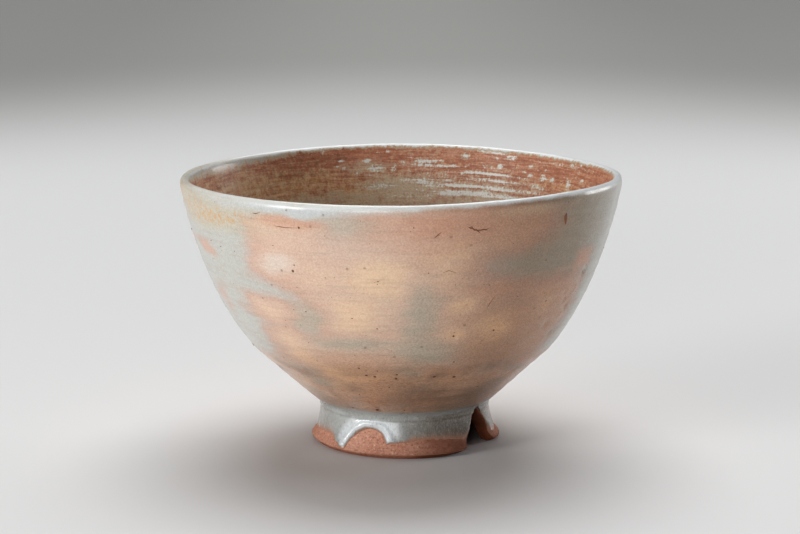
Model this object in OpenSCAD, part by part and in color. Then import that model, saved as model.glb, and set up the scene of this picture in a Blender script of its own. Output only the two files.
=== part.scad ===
// Hand-thrown tea bowl: a clay wall and a cut foot ring under four coats of glaze.
// Millimetres, +Z up. The origin is on the table under the middle of the lip, and the foot's cut faces +X.

/* [Bowl] */
// Diameter across the widest part of the lip
rim_d = 132; // [116:1:148]
// Height of the lip above the table
bowl_h = 81.4; // [72:0.2:92]
// Lean of the wall from upright just under the lip, in degrees
lip_lean = 10.7; // [6:0.1:18]
// Diameter at the knee, where the trimmed cone meets the thrown curve
knee_d = 90.4; // [84:0.2:98]
// Height of the knee above the table
knee_h = 30; // [26:0.5:34]
// Lean of the thrown curve from upright at the knee, in degrees
knee_lean = 40.4; // [32:0.2:46]
// Length of the curve's straight pull under the lip
lip_pull = 17.5; // [10:0.5:24]
// Length of the curve's straight pull above the knee
knee_pull = 16; // [8:0.5:22]

/* [Wall] */
// Width of the wall under the lip, glaze included
lip_w = 3; // [2.4:0.1:4.5]
// Height of the rounded end of the lip
lip_round = 2.2; // [1.2:0.1:3]
// Width of the wall at the knee, glaze included
knee_w = 6; // [4.5:0.1:8]
// Thickness of the clay floor in the middle of the well
floor_t = 6.5; // [4:0.1:9]
// Length of the well's curve next to the knee
well_side = 15; // [8:0.5:20]
// Length of the flat pull of the well's curve in the middle
well_flat = 21; // [12:0.5:26]

/* [Foot] */
// Height of the foot ring
foot_h = 12; // [9:0.5:15]
// Diameter of the foot where it meets the wall
foot_top_d = 51; // [46:0.5:56]
// Diameter of the foot at its widest, just above the table
foot_d = 57.4; // [54:0.2:64]
// Inside diameter of the foot at the table
foot_in_d = 45; // [40:0.5:48]
// Lean of the flare from upright under the wall, in degrees
flare_top_lean = 3.5; // [0:0.5:10]
// Length of the flare's straight pull under the wall
flare_top_pull = 4.8; // [3:0.1:6]
// Lean of the flare from upright at its widest, in degrees
flare_lean = 53; // [40:1:65]
// Length of the flare's straight pull next to its widest part
flare_pull = 3; // [2:0.1:3.4]
// Width and height of the bevel round the foot's outer edge
foot_bevel = 1.5; // [0.8:0.1:2.5]
// Width and height of the bevel round the foot's inner edge
inner_bevel = 1.2; // [0.6:0.1:2]
// Height of the hollow under the bowl
recess_h = 8; // [5:0.5:8.5]
// Diameter of the bowl's underside inside the foot ring
recess_d = 41; // [36:0.5:43]
// Diameter of the small cone left by the trimming tool in the hollow
nub_d = 9; // [5:0.5:14]
// Height of the small cone in the hollow
nub_h = 1.1; // [0.5:0.1:2]

/* [Cut in the foot] */
// Width of the wedge cut at the table
cut_w = 17.6; // [12:0.2:22]
// Width of the wedge cut at the top of the foot
cut_top_w = 1.8; // [1:0.1:6]

/* [Glaze] */
// Thickness of the coats on the wall
glaze_t = 0.5; // [0.3:0.05:0.8]
// Thickness of the coat on top of the lip
lip_glaze_t = 0.7; // [0.4:0.05:1]
// Depth of the glaze pooled in the middle of the well
pool_t = 1.3; // [0.6:0.1:2]
// Length of the pale lip coat down each side of the wall
lip_band = 1.6; // [1:0.1:4]
// Throwing ridges inside, from the knee to the lip
ridges_in = 11; // [6:1:14]
// Throwing ridges inside, from the well to the knee
ridges_well = 8; // [4:1:10]
// Height of the throwing ridges inside
ridge_in = 0.28; // [0.1:0.02:0.4]
// Turning lines outside, from the knee to the lip
ridges_out = 13; // [6:1:16]
// Turning lines on the trimmed cone
ridges_cone = 6; // [3:1:8]
// Depth of the turning lines outside
ridge_out = 0.12; // [0.05:0.01:0.25]

/* [Glaze on the foot] */
// Thickness of the coat on the foot
foot_glaze_t = 0.45; // [0.3:0.05:0.7]
// Height of the glaze's lower edge above the table
glaze_line = 5.4; // [4:0.1:8]
// Tilt of the glaze's lower edge, in degrees
line_tilt = 2.2; // [0:0.1:4]
// Direction of the edge's highest side, in degrees from the cut
line_turn = -37; // [-180:1:180]
// Width of the widest tongue of glaze that ran below the edge
tongue_w = 9; // [6:0.5:11]
// Distance from the glaze line down to the end of the widest tongue
tongue_drop = 2.6; // [1:0.1:3.4]
// Direction of the finger mark, in degrees from the cut
mark_turn = -84; // [-95:1:-70]
// Width of the bare finger mark
mark_w = 12; // [9:0.5:14]
// Height of the middle of the finger mark above the table
mark_h = 2.2; // [1:0.1:4]
// Width of the roll of glaze round the finger mark
roll_w = 1.5; // [1:0.1:2.2]
// Thickness of that roll
roll_t = 0.9; // [0.6:0.05:1.2]

/* [Hidden] */
$fn = 96;
// Points along each curve of the clay
clay_steps = 18;
// Points for each ridge in the glaze
ridge_steps = 6;
// Points round the lip
lip_steps = 12;
// Points down the foot's flare
flare_steps = 10;
// How far a cutting shape runs past what it cuts
past = 20;

// Rounded end of the lip: how far it reaches out and up from its middle
lip_reach = sqrt(pow(lip_w / 2 * cos(lip_lean), 2) + pow(lip_round * sin(lip_lean), 2));
lip_rise = sqrt(pow(lip_w / 2 * sin(lip_lean), 2) + pow(lip_round * cos(lip_lean), 2));
lip_mid = [rim_d / 2 - lip_reach, bowl_h - lip_rise];
wall_top = lip_mid + lip_w / 2 * [cos(lip_lean), -sin(lip_lean)];

knee = [knee_d / 2, knee_h];
foot_edge = [foot_top_d / 2, foot_h];
cone_run = knee - foot_edge;
floor_h = recess_h + floor_t;
foot_clay_r = foot_top_d / 2 - foot_glaze_t;
// Place on the thrown curve where the lip coat ends
band_end = 1 - lip_band / (3 * lip_pull);
// Reach of the wall's coat across the flat top of the foot
cone_coat = glaze_t * norm(cone_run) / cone_run[1];

// Point and slope of a curve with four control points
function curve(p, t) =
    pow(1 - t, 3) * p[0] + 3 * pow(1 - t, 2) * t * p[1] + 3 * (1 - t) * t * t * p[2] + pow(t, 3) * p[3];
function slope(p, t) =
    pow(1 - t, 2) * (p[1] - p[0]) + 2 * (1 - t) * t * (p[2] - p[1]) + t * t * (p[3] - p[2]);
function heading(lean) = [sin(lean), cos(lean)];
// Unit normal to the left of a direction
function left(d) = [-d[1], d[0]] / norm(d);
function reversed(p) = [for (i = [len(p) - 1 : -1 : 0]) p[i]];
// One smooth ridge for each whole number, 0 between them and 1 on top
function ridge(n) = (1 - cos(360 * n)) / 2;

// Thrown curve outside, from the knee up to the lip
thrown = [knee, knee + knee_pull * heading(knee_lean), wall_top - lip_pull * heading(lip_lean), wall_top];
function wall_width(t) = knee_w + (lip_w - knee_w) * t;
function under_wall(t, depth) = curve(thrown, t) + depth * left(slope(thrown, t));
function under_cone(t, depth) = foot_edge + t * cone_run + depth * left(cone_run);

// Curve of the well, from its middle out to the knee
well_end = under_wall(0, knee_w);
well_top = [0, floor_h + pool_t];
well = [well_top, well_top + [well_flat, 0], well_end - well_side * heading(knee_lean), well_end];
function under_well(t, depth) = curve(well, t) - depth * left(slope(well, t));
// The pool thins out from the middle of the well
function well_coat(t) = glaze_t + (pool_t - glaze_t) * pow(1 - t, 3);

function lip_point(angle, coat, top_coat) =
    lip_mid
    + (lip_w / 2 - coat) * cos(angle) * [cos(lip_lean), -sin(lip_lean)]
    + (lip_round - top_coat) * sin(angle) * heading(lip_lean);

// Clay under the coats, from the foot up the outside, over the lip and down to the middle of the well
clay_cone = concat(
    [foot_edge - [cone_coat, 0]],
    [for (i = [1 : 3]) under_cone(i / 4, glaze_t)]);
clay_out = [for (i = [0 : clay_steps - 1]) under_wall(band_end * i / clay_steps, glaze_t)];
clay_band = [under_wall(band_end, glaze_t)];
clay_lip = [for (i = [0 : lip_steps]) lip_point(180 * i / lip_steps, glaze_t, lip_glaze_t)];
clay_band_in = [under_wall(band_end, wall_width(band_end) - glaze_t)];
clay_in = [
    for (i = [clay_steps - 1 : -1 : 0])
        let (t = band_end * i / clay_steps)
        under_wall(t, wall_width(t) - glaze_t)];
clay_well = [
    for (i = [clay_steps - 1 : -1 : 0])
        let (t = i / clay_steps)
        under_well(t, well_coat(t))];

// Glazed surface over the clay
out_count = ridges_out * ridge_steps;
cone_count = ridges_cone * ridge_steps;
in_count = ridges_in * ridge_steps;
well_count = ridges_well * ridge_steps;
glaze_cone = [
    for (i = [0 : cone_count - 1])
        let (t = i / cone_count)
        under_cone(t, ridge_out * ridge(t * ridges_cone))];
glaze_out = [
    for (i = [0 : out_count])
        let (t = band_end * i / out_count)
        under_wall(t, ridge_out * ridge(i / ridge_steps))];
glaze_lip = [for (i = [0 : lip_steps]) lip_point(180 * i / lip_steps, 0, 0)];
glaze_in = [
    for (i = [in_count : -1 : 0])
        let (t = band_end * i / in_count)
        under_wall(t, wall_width(t) + ridge_in * ridge(i / ridge_steps))];
glaze_well = [
    for (i = [well_count - 1 : -1 : 0])
        let (t = i / well_count)
        under_well(t, -ridge_in * t * ridge(i / ridge_steps))];

// Flare of the foot, from the wall down to its widest part
foot_wide = [foot_d / 2, foot_bevel];
flare = [
    [foot_clay_r, foot_h],
    [foot_clay_r, foot_h] + flare_top_pull * [sin(flare_top_lean), -cos(flare_top_lean)],
    foot_wide + flare_pull * [-sin(flare_lean), cos(flare_lean)],
    foot_wide];
flare_clay = [for (i = [0 : flare_steps]) curve(flare, i / flare_steps)];
function over_flare(t, height) = curve(flare, t) + height * left(slope(flare, t));

// Solid wedge that is cut out of the foot, and out of what covers it
module foot_cut() {
    rotate([90, 0, 90])
        linear_extrude(height = foot_d / 2 + past)
            polygon([
                [-cut_w / 2, 0],
                [-cut_w / 2, -past],
                [cut_w / 2, -past],
                [cut_w / 2, 0],
                [cut_top_w / 2, foot_h],
                [-cut_top_w / 2, foot_h]]);
}

// Round bar that runs out from the axis through the foot's wall
module radial_bar(turn, height, d) {
    rotate([0, 0, turn])
        translate([0, 0, height])
            rotate([0, 90, 0])
                cylinder(h = foot_d / 2 + past, d = d);
}

// Coat of a given thickness on the whole flare of the foot
module flare_coat(thickness) {
    coat = [for (i = [1 : flare_steps - 1]) over_flare(i / flare_steps, thickness)];
    rotate_extrude()
        polygon(concat(
            reversed(flare_clay),
            [[foot_clay_r + thickness, foot_h]],
            coat,
            [foot_wide + [thickness / 2, thickness / 2]]));
}

// Everything above the tilted glaze line
module above_line() {
    rotate([0, 0, line_turn])
        rotate([0, -line_tilt, 0])
            translate([0, 0, glaze_line])
                cylinder(h = foot_h, r = foot_d);
}

module thrown_bowl() {
    color([0.67, 0.42, 0.31])
        rotate_extrude()
            polygon(concat(
                [[0, recess_h - nub_h], [nub_d / 2, recess_h]],
                [[recess_d / 2, recess_h], [recess_d / 2, foot_h]],
                clay_cone,
                clay_out,
                clay_band,
                clay_lip,
                clay_band_in,
                clay_in,
                clay_well));
}

module foot_ring() {
    color([0.70, 0.43, 0.31])
        difference() {
            rotate_extrude()
                polygon(concat(
                    flare_clay,
                    [[foot_d / 2 - foot_bevel, 0], [foot_in_d / 2 + inner_bevel, 0]],
                    [[foot_in_d / 2, inner_bevel]],
                    [[recess_d / 2, recess_h], [recess_d / 2, foot_h]]));
            foot_cut();
        }
}

module outer_glaze() {
    color([0.80, 0.67, 0.56])
        rotate_extrude()
            polygon(concat(
                glaze_cone,
                glaze_out,
                clay_band,
                reversed(clay_out),
                reversed(clay_cone)));
}

module lip_glaze() {
    color([0.84, 0.85, 0.82])
        rotate_extrude()
            polygon(concat(
                [under_wall(band_end, 0)],
                glaze_lip,
                [under_wall(band_end, wall_width(band_end))],
                clay_band_in,
                reversed(clay_lip),
                clay_band));
}

module inner_glaze() {
    color([0.60, 0.42, 0.31])
        rotate_extrude()
            polygon(concat(
                clay_band_in,
                clay_in,
                clay_well,
                reversed(glaze_well),
                reversed(glaze_in)));
}

module foot_glaze() {
    color([0.64, 0.67, 0.66])
        difference() {
            union() {
                intersection() {
                    flare_coat(foot_glaze_t);
                    union() {
                        above_line();
                        radial_bar(mark_turn - 20, glaze_line - tongue_drop + tongue_w / 2, tongue_w);
                        radial_bar(mark_turn + 150, glaze_line - tongue_drop / 2 + tongue_w / 2, tongue_w);
                        radial_bar(mark_turn + 235, glaze_line - tongue_drop / 3 + tongue_w / 2, tongue_w);
                    }
                }
                intersection() {
                    flare_coat(roll_t);
                    above_line();
                    radial_bar(mark_turn, mark_h, mark_w + 2 * roll_w);
                }
            }
            radial_bar(mark_turn, mark_h, mark_w);
            foot_cut();
        }
}

thrown_bowl();
foot_ring();
outer_glaze();
lip_glaze();
inner_glaze();
foot_glaze();
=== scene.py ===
"""Looks of a hand-thrown tea bowl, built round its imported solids.

Sizes are in millimetres until a mesh is made. Places on the bowl are given by their height and by
their turn, in degrees to the right of the side that faces the camera.
"""

import math
import random

import bpy
import numpy as np
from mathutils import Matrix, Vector, noise
from mathutils.bvhtree import BVHTree


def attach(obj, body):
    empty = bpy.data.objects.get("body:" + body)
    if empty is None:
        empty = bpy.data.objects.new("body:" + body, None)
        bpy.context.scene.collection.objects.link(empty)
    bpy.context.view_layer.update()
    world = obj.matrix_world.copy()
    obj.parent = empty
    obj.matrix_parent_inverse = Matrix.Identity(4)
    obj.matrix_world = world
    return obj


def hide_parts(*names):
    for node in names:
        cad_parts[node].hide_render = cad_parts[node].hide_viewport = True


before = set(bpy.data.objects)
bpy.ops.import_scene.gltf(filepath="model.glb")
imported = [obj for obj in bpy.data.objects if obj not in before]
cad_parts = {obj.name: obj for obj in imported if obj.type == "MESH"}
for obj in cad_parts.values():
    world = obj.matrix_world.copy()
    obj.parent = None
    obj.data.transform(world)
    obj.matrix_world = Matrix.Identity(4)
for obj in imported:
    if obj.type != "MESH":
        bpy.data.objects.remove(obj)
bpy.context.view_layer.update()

MM = 0.001
FRONT = math.radians(-57)  # direction of the camera's side, measured from the cut in the foot
TOWARDS = Vector((math.cos(FRONT), math.sin(FRONT), 0))
ACROSS = Vector((-math.sin(FRONT), math.cos(FRONT), 0))


def direction(turn, elevation=0.0):
    """Unit vector from the bowl's axis towards a turn and an elevation in degrees."""
    angle, lift = FRONT + math.radians(turn), math.radians(elevation)
    return Vector((math.cos(angle) * math.cos(lift), math.sin(angle) * math.cos(lift), math.sin(lift)))


# Sizes of the solids
RIM_R, BOWL_H = 66.0, 81.4
LIP_LEAN, KNEE_LEAN = math.radians(10.7), math.radians(40.4)
LIP_PULL, KNEE_PULL = 17.5, 16.0
KNEE = np.array((45.2, 30.0))
LIP_W, LIP_ROUND, KNEE_W = 3.0, 2.2, 6.0
LIP_BAND = 1.6
FOOT_EDGE = np.array((25.5, 12.0))
FOOT_WIDE = np.array((28.7, 1.5))
FOOT_IN_R, INNER_BEVEL = 22.5, 1.2
FLARE_TOP_LEAN, FLARE_LEAN = math.radians(3.5), math.radians(53)
FLARE_TOP_PULL, FLARE_PULL = 4.8, 3.0
RECESS_H, RECESS_R = 8.0, 20.5
NUB_R, NUB_H = 4.5, 1.1
FLOOR_H, POOL_T = 14.5, 1.3
WELL_SIDE, WELL_FLAT = 15.0, 21.0
GLAZE_T, FOOT_GLAZE_T = 0.5, 0.45
SKIRT_W = 3.0  # how far the foot's coat reaches up the wall
# Spacing of the points along the profiles
WALL_STEP, LIP_STEP, INNER_STEP, WELL_STEP, FOOT_STEP, UNDER_STEP = 0.6, 0.3, 0.4, 0.8, 0.26, 0.4


# Profiles

def heading(lean):
    """Unit vector in a section, leaning out from straight up."""
    return np.array((math.sin(lean), math.cos(lean)))


def bend(points, count):
    """Points along a curve with three or four control points."""
    t = np.linspace(0, 1, count)[:, None]
    if len(points) == 3:
        a, b, c = map(np.asarray, points)
        return (1 - t) ** 2 * a + 2 * (1 - t) * t * b + t ** 2 * c
    a, b, c, d = map(np.asarray, points)
    return (1 - t) ** 3 * a + 3 * (1 - t) ** 2 * t * b + 3 * (1 - t) * t ** 2 * c + t ** 3 * d


def run_of(path):
    """Length along a path up to each of its points."""
    return np.r_[0, np.cumsum(np.hypot(*np.diff(path, axis=0).T))]


def even(path, step):
    """The same path with evenly spaced points."""
    path = np.asarray(path, float)
    run = run_of(path)
    at = np.linspace(0, run[-1], max(2, round(run[-1] / step) + 1))
    return np.stack([np.interp(at, run, path[:, 0]), np.interp(at, run, path[:, 1])], 1)


def right_of(path):
    """Unit normals to the right of a path's direction, which is the outer side here."""
    d = np.gradient(path, axis=0)
    n = np.stack([d[:, 1], -d[:, 0]], 1)
    return n / np.hypot(n[:, 0], n[:, 1])[:, None]


def softened(path, rounds):
    """A path with its corners eased by averaging neighbours."""
    path = path.copy()
    for _ in range(rounds):
        path[1:-1] = (path[:-2] + 2 * path[1:-1] + path[2:]) / 4
    return path


def smooth(low, high, value):
    """0 at low, 1 at high and smooth between them; low may be the larger."""
    t = np.clip((value - low) / (high - low), 0, 1)
    return t * t * (3 - 2 * t)


lip_reach = math.hypot(LIP_W / 2 * math.cos(LIP_LEAN), LIP_ROUND * math.sin(LIP_LEAN))
lip_rise = math.hypot(LIP_W / 2 * math.sin(LIP_LEAN), LIP_ROUND * math.cos(LIP_LEAN))
lip_mid = np.array((RIM_R - lip_reach, BOWL_H - lip_rise))
lip_side = np.array((math.cos(LIP_LEAN), -math.sin(LIP_LEAN)))
wall_top = lip_mid + LIP_W / 2 * lip_side
thrown = bend([
    KNEE,
    KNEE + KNEE_PULL * heading(KNEE_LEAN),
    wall_top - LIP_PULL * heading(LIP_LEAN),
    wall_top], 160)
cone_dir = (KNEE - FOOT_EDGE) / np.hypot(*(KNEE - FOOT_EDGE))
skirt = FOOT_EDGE + SKIRT_W * cone_dir  # where the wall's coat hands over to the foot's coat
outside = softened(even(np.vstack([np.linspace(skirt, KNEE, 60), thrown[1:]]), WALL_STEP), 6)
wall_w = KNEE_W + (LIP_W - KNEE_W) * np.linspace(0, 1, len(thrown))[:, None]
inner_wall = (thrown - right_of(thrown) * wall_w)[::-1]
well_end, well_top = inner_wall[-1], np.array((0, FLOOR_H + POOL_T))
well = bend([
    well_end,
    well_end - WELL_SIDE * heading(KNEE_LEAN),
    well_top + (WELL_FLAT, 0),
    well_top], 120)
arc = np.linspace(0, math.pi, 60)[:, None]
over_lip = lip_mid + LIP_W / 2 * np.cos(arc) * lip_side + LIP_ROUND * np.sin(arc) * heading(LIP_LEAN)
over_lip = even(over_lip, LIP_STEP)[1:-1]
glazed = np.vstack([outside, over_lip, even(inner_wall, INNER_STEP), even(well, WELL_STEP)[1:]])
glazed_run = run_of(glazed)
lip_first, lip_last = len(outside), len(outside) + len(over_lip)
lip_top = lip_first + int(np.argmax(over_lip[:, 1]))
band_out = int(np.searchsorted(glazed_run, glazed_run[lip_first - 1] - LIP_BAND))
band_in = int(np.searchsorted(glazed_run, glazed_run[lip_last] + LIP_BAND))
clay_under = glazed - right_of(glazed) * GLAZE_T

foot_top = FOOT_EDGE - (FOOT_GLAZE_T, 0)
flare = bend([
    FOOT_WIDE,
    FOOT_WIDE + FLARE_PULL * heading(-FLARE_LEAN),
    foot_top - FLARE_TOP_PULL * heading(-FLARE_TOP_LEAN),
    foot_top], 80)


# Unevenness of a bowl thrown by hand

FOOT_SHIFT = 1.45  # how far the foot sits to the right of the lip's middle
SHIFT_TOP = 60.0  # height where that shift has faded out
SHIFT_POWER = 1.6
WAVE_FROM = 45.0  # height where the lip's unevenness starts
# Rise of the lip every 45 degrees, from the front to the right
LIP_RISES = (0.05, 0.45, 0.1, -0.6, 0.6, -0.7, -0.5, -0.55)


def lean_over(points):
    """Points in millimetres with the foot's shift added."""
    shift = FOOT_SHIFT * np.clip(1 - points[:, 2] / SHIFT_TOP, 0, 1) ** SHIFT_POWER
    return points + shift[:, None] * np.array(ACROSS)


def lip_wave(turn):
    """Rise of the uneven lip, a smooth curve through a few heights."""
    spots = np.radians(np.arange(8) * 45)
    rises = np.array(LIP_RISES)
    wave = np.full(len(turn), rises.mean())
    for k in (1, 2, 3):
        wave += np.mean(rises * np.cos(k * spots)) * 2 * np.cos(k * np.radians(turn))
        wave += np.mean(rises * np.sin(k * spots)) * 2 * np.sin(k * np.radians(turn))
    return wave


def wander(points, size, start, drawn=1.0):
    """Smooth noise from -1 to 1 at points in millimetres, drawn out round the bowl if wanted."""
    scaled = points / (size, size, size / drawn) + (start, 0, 0)
    return np.array([noise.noise(Vector(spot)) for spot in scaled])


# Node trees

def operator(kind):
    """An operator for sockets and its reflected form, which both add a Math node."""
    return (lambda one, two: one.math(kind, one, two)), (lambda one, two: one.math(kind, two, one))


class Wire:
    """A socket of a node tree. Arithmetic on it adds Math nodes."""

    def __init__(self, tree, socket):
        self.tree, self.socket = tree, socket

    def math(self, operation, *values):
        return self.tree.add("ShaderNodeMath", dict(enumerate(values)), operation=operation)

    __add__, __radd__ = operator("ADD")
    __sub__, __rsub__ = operator("SUBTRACT")
    __mul__, __rmul__ = operator("MULTIPLY")
    __truediv__, __rtruediv__ = operator("DIVIDE")
    __pow__, __rpow__ = operator("POWER")


class Tree:
    """A node tree that is written as calls and expressions."""

    def __init__(self, nodes):
        self.nodes = nodes

    def feed(self, node, sockets):
        for key, value in sockets.items():
            if isinstance(value, Wire):
                self.nodes.links.new(value.socket, node.inputs[key])
            else:
                node.inputs[key].default_value = value

    def add(self, kind, sockets=None, out=0, **settings):
        node = self.nodes.nodes.new(kind)
        for name, value in settings.items():
            setattr(node, name, value)
        self.feed(node, sockets or {})
        return Wire(self, node.outputs[out]) if len(node.outputs) else node

    def attribute(self, name):
        return self.add("ShaderNodeAttribute", out="Fac", attribute_name=name)

    def place(self, stretch=(1, 1, 1)):
        """Object coordinates in millimetres, squeezed along each axis."""
        at = self.add("ShaderNodeTexCoord", out="Object")
        scale = tuple(s / MM for s in stretch)
        return self.add("ShaderNodeMapping", {"Vector": at, "Scale": scale})

    def cloud(self, at, size, detail=2.0, rough=0.5, warp=0.0):
        """Noise from 0 to 1 with lumps about one size apart."""
        return self.add("ShaderNodeTexNoise", {
            "Vector": at, "Scale": 1 / size, "Detail": detail, "Roughness": rough, "Distortion": warp})

    def between(self, value, low, high):
        """0 below low, 1 above high and smooth between them."""
        sockets = {"Value": value, "From Min": low, "From Max": high}
        return self.add("ShaderNodeMapRange", sockets, interpolation_type="SMOOTHSTEP")

    def blend(self, share, first, second, how="MIX"):
        """A mix of two colours; those that aren't sockets are given as on a screen, 0 to 255."""
        first, second = (c if isinstance(c, Wire) else on_screen(c) for c in (first, second))
        sockets = {0: share, 6: first, 7: second}
        return self.add("ShaderNodeMix", sockets, 2, data_type="RGBA", blend_type=how)

    def stain(self, shade, value, low, high, tint, share=1.0):
        """A shade with a tint over it where a value goes from low to high."""
        return self.blend(self.between(value, low, high) * share, shade, tint)

    def bump(self, height, strength, depth):
        sockets = {"Height": height, "Strength": strength, "Distance": depth * MM}
        return self.add("ShaderNodeBump", sockets)

    def named(self, name, kind="FLOAT"):
        return self.add("GeometryNodeInputNamedAttribute", {"Name": name}, data_type=kind)

    def vector(self, operation, *values, out=0, **named):
        sockets = {**dict(enumerate(values)), **named}
        return self.add("ShaderNodeVectorMath", sockets, out, operation=operation)

    def joined(self, x, y, z):
        return self.add("ShaderNodeCombineXYZ", {"X": x, "Y": y, "Z": z})


def on_screen(shade):
    """Blender's colour for one given as it looks on a screen."""
    return (*(((c / 255 + 0.055) / 1.055) ** 2.4 for c in shade), 1.0)


def finish(name, build):
    """A material whose Principled shader takes what build returns for its sockets."""
    material = bpy.data.materials.new(name)
    material.use_nodes = True
    tree = Tree(material.node_tree)
    tree.feed(material.node_tree.nodes["Principled BSDF"], build(tree))
    return material


def node_group(name, inputs):
    """An empty geometry tree: its tree, its named inputs and a function that ends it."""
    group = bpy.data.node_groups.new(name, "GeometryNodeTree")
    kinds = [("Geometry", "Geometry"), *((label, "Float") for label in inputs), ("Material", "Material")]
    for label, kind in kinds:
        group.interface.new_socket(name=label, in_out="INPUT", socket_type="NodeSocket" + kind)
    group.interface.new_socket(name="Geometry", in_out="OUTPUT", socket_type="NodeSocketGeometry")
    tree = Tree(group)
    source = group.nodes.new("NodeGroupInput")
    given = {socket.name: Wire(tree, socket) for socket in source.outputs if socket.name}

    def end(geometry):
        real = tree.add("GeometryNodeRealizeInstances", {"Geometry": geometry})
        done = tree.add("GeometryNodeSetMaterial", {"Geometry": real, "Material": given["Material"]})
        tree.add("NodeGroupOutput", {"Geometry": done})
        return group

    return tree, given, end


# Finishes

def glaze_finish(tree):
    at, drawn = tree.place(), tree.place((1, 1, 3))
    soft = tree.cloud(drawn, 8, 4, 0.6, 0.3) - 0.5
    fine = tree.cloud(at, 0.5, 4, 0.7)
    lines = tree.cloud(tree.place((0.05, 0.05, 1)), 1.0, 4, 0.65)
    # The tone browns and darkens the glaze: partly its own colour, partly painted shade on the right and low
    # on the wall
    flash, tone = tree.attribute("flash") + soft * 0.6, tree.attribute("tone") + soft * 0.4

    def mask(name):
        return tree.between(tree.attribute(name) + soft * 0.6, 0.0, 1.0)

    def shades(pale, brown):
        return tree.blend(tone, pale, brown)

    def broken(name, share, *clouds):
        """A painted share, broken up by clouds that each have a weight."""
        total = tree.attribute(name) * share
        for cloud, weight in clouds:
            total = total + (cloud - 0.5) * weight
        return total

    # Outside: grey glaze, with a pink rim round each warm flash and a cream middle in it
    shade = shades((191, 190, 182), (141, 123, 98))
    shade = tree.blend(tree.between(flash, 0.0, 0.65), shade, shades((202, 165, 145), (164, 118, 90)))
    shade = tree.blend(tree.between(flash, 0.35, 1.0), shade, shades((216, 184, 162), (184, 134, 97)))
    tints = {
        "cream": shades((234, 200, 166), (208, 156, 112)),
        "rose": shades((206, 151, 122), (176, 121, 87)),
        "smoke": shades((188, 174, 155), (152, 133, 110)),
        # Umber is brown glaze, and also painted shade in the crease above the foot, low on the wall and under
        # the lip at the right
        "umber": (130, 99, 77),
        "milk": (197, 200, 199),
        "pearl": (222, 205, 190),
        # The pool is grey pooled glaze, darkened as painted shade in the crease above the foot
        "pool": (132, 127, 118),
    }
    for name, tint in tints.items():
        shade = tree.blend(mask(name), shade, tint)
    mottle = tree.between(tree.cloud(drawn, 2.6, 5, 0.65), 0.5, 0.75)
    shade = tree.blend(mottle * (0.12 + tone * 0.12), shade, (140, 104, 84))
    coarse = tree.attribute("coarse")
    sand = tree.cloud(drawn, 1.2, 5, 0.75)
    shade = tree.blend(tree.between(sand, 0.52, 0.66) * coarse * 0.6, shade, (112, 80, 60))
    shade = tree.blend(tree.between(sand, 0.46, 0.32) * coarse * 0.6, shade, (214, 170, 132))
    cells = tree.add("ShaderNodeTexVoronoi", {"Vector": at, "Scale": 1 / 6})
    pits = tree.between(cells, 0.09, 0.045)
    shade = tree.blend(pits * 0.5, shade, (120, 84, 64))
    shade = tree.blend(tree.attribute("lip"), shade, (234, 236, 234))
    shade = tree.blend(mask("ochre") * 0.45, shade, (200, 184, 148))
    dots = tree.attribute("ochre") * 0.4 + tree.cloud(tree.place((1.2, 1.2, 0.6)), 1.0, 4, 0.7)
    shade = tree.stain(shade, dots, 0.84, 0.98, (208, 158, 98), 0.8)

    # Inside, the coat is thin: the clay shows through, and pale glaze stays in rows and short runs
    dabs = tree.cloud(at, 1.7, 4, 0.65)
    flecks = tree.cloud(tree.place((1, 1, 1.6)), 0.9, 3, 0.6)
    rows = tree.cloud(tree.place((0.1, 0.1, 1)), 0.8, 4, 0.65)
    runs = tree.cloud(tree.place((1, 1, 0.45)), 0.6, 4, 0.7)
    drips = tree.cloud(tree.place((1, 1, 0.5)), 1.5, 5, 0.7)
    iron_light = tree.between(rows * 0.6 + dabs * 0.4, 0.38, 0.62)
    iron = tree.blend(iron_light, (157, 93, 66), (199, 136, 105))
    tan_light = tree.between(drips * 0.4 + flecks * 0.3 + rows * 0.3, 0.42, 0.6)
    tan = tree.blend(tan_light, (190, 137, 90), (222, 189, 147))
    olive = broken("olive", 0.9, (drips, 1.2), (dabs, 0.8), (rows, 0.7)) + soft * 1.3
    iron = tree.stain(iron, olive, 0.1, 0.75, tan, 0.85)
    dark = broken("dark", 0.7, (dabs, 2.0))
    iron = tree.stain(iron, dark, 0.15, 0.75, (116, 64, 42), 0.8)
    iron = tree.stain(iron, flecks, 0.55, 0.7, (212, 166, 132), 0.35)
    film = broken("film", 0.8, (rows, 0.5), (runs, 0.5), (dabs, 1.1))
    iron = tree.stain(iron, film, 0.2, 0.8, (192, 174, 148), 0.85)
    left = broken("streak", 0.9, (rows, 1.3), (runs, 1.2), (flecks, 0.8))
    iron = tree.stain(iron, left, 0.3, 0.6, (198, 182, 156), 0.6)
    thick = tree.between(left, 0.57, 0.7)
    iron = tree.blend(thick * 0.95, iron, (222, 222, 215))
    ragged = broken("brown", 1.0, (dabs, 1.9), (flecks, 1.1))
    shade = tree.stain(shade, ragged, 0.0, 0.5, (190, 164, 132))
    shade = tree.stain(shade, ragged, 0.4, 0.8, iron)

    # Both sides: fine grain, wheel lines and gloss
    grain = tree.blend(tree.between(fine, 0.3, 0.72), (140, 140, 140), (225, 225, 225))
    shade = tree.blend(0.3 + flash * 0.08 + tone * 0.16, shade, grain, "OVERLAY")
    shade = tree.stain(shade, lines, 0.5, 0.72, (136, 110, 92), 0.17)
    height = lines * 0.45 + fine * 0.35 + tree.cloud(at, 0.45, 2) * 0.2 - pits * 0.8 + sand * coarse * 1.6
    dull = tree.between(tree.attribute("brown"), 0.0, 1.0)
    return {
        "Base Color": shade,
        "Roughness": 0.3 + tree.cloud(at, 5, 3) * 0.16 + dull * (0.3 - thick * 0.22),
        "Normal": tree.bump(height, 0.35, 0.16),
        "Coat Weight": 0.4 - dull * 0.34,
        "Coat Roughness": 0.14,
    }


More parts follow.
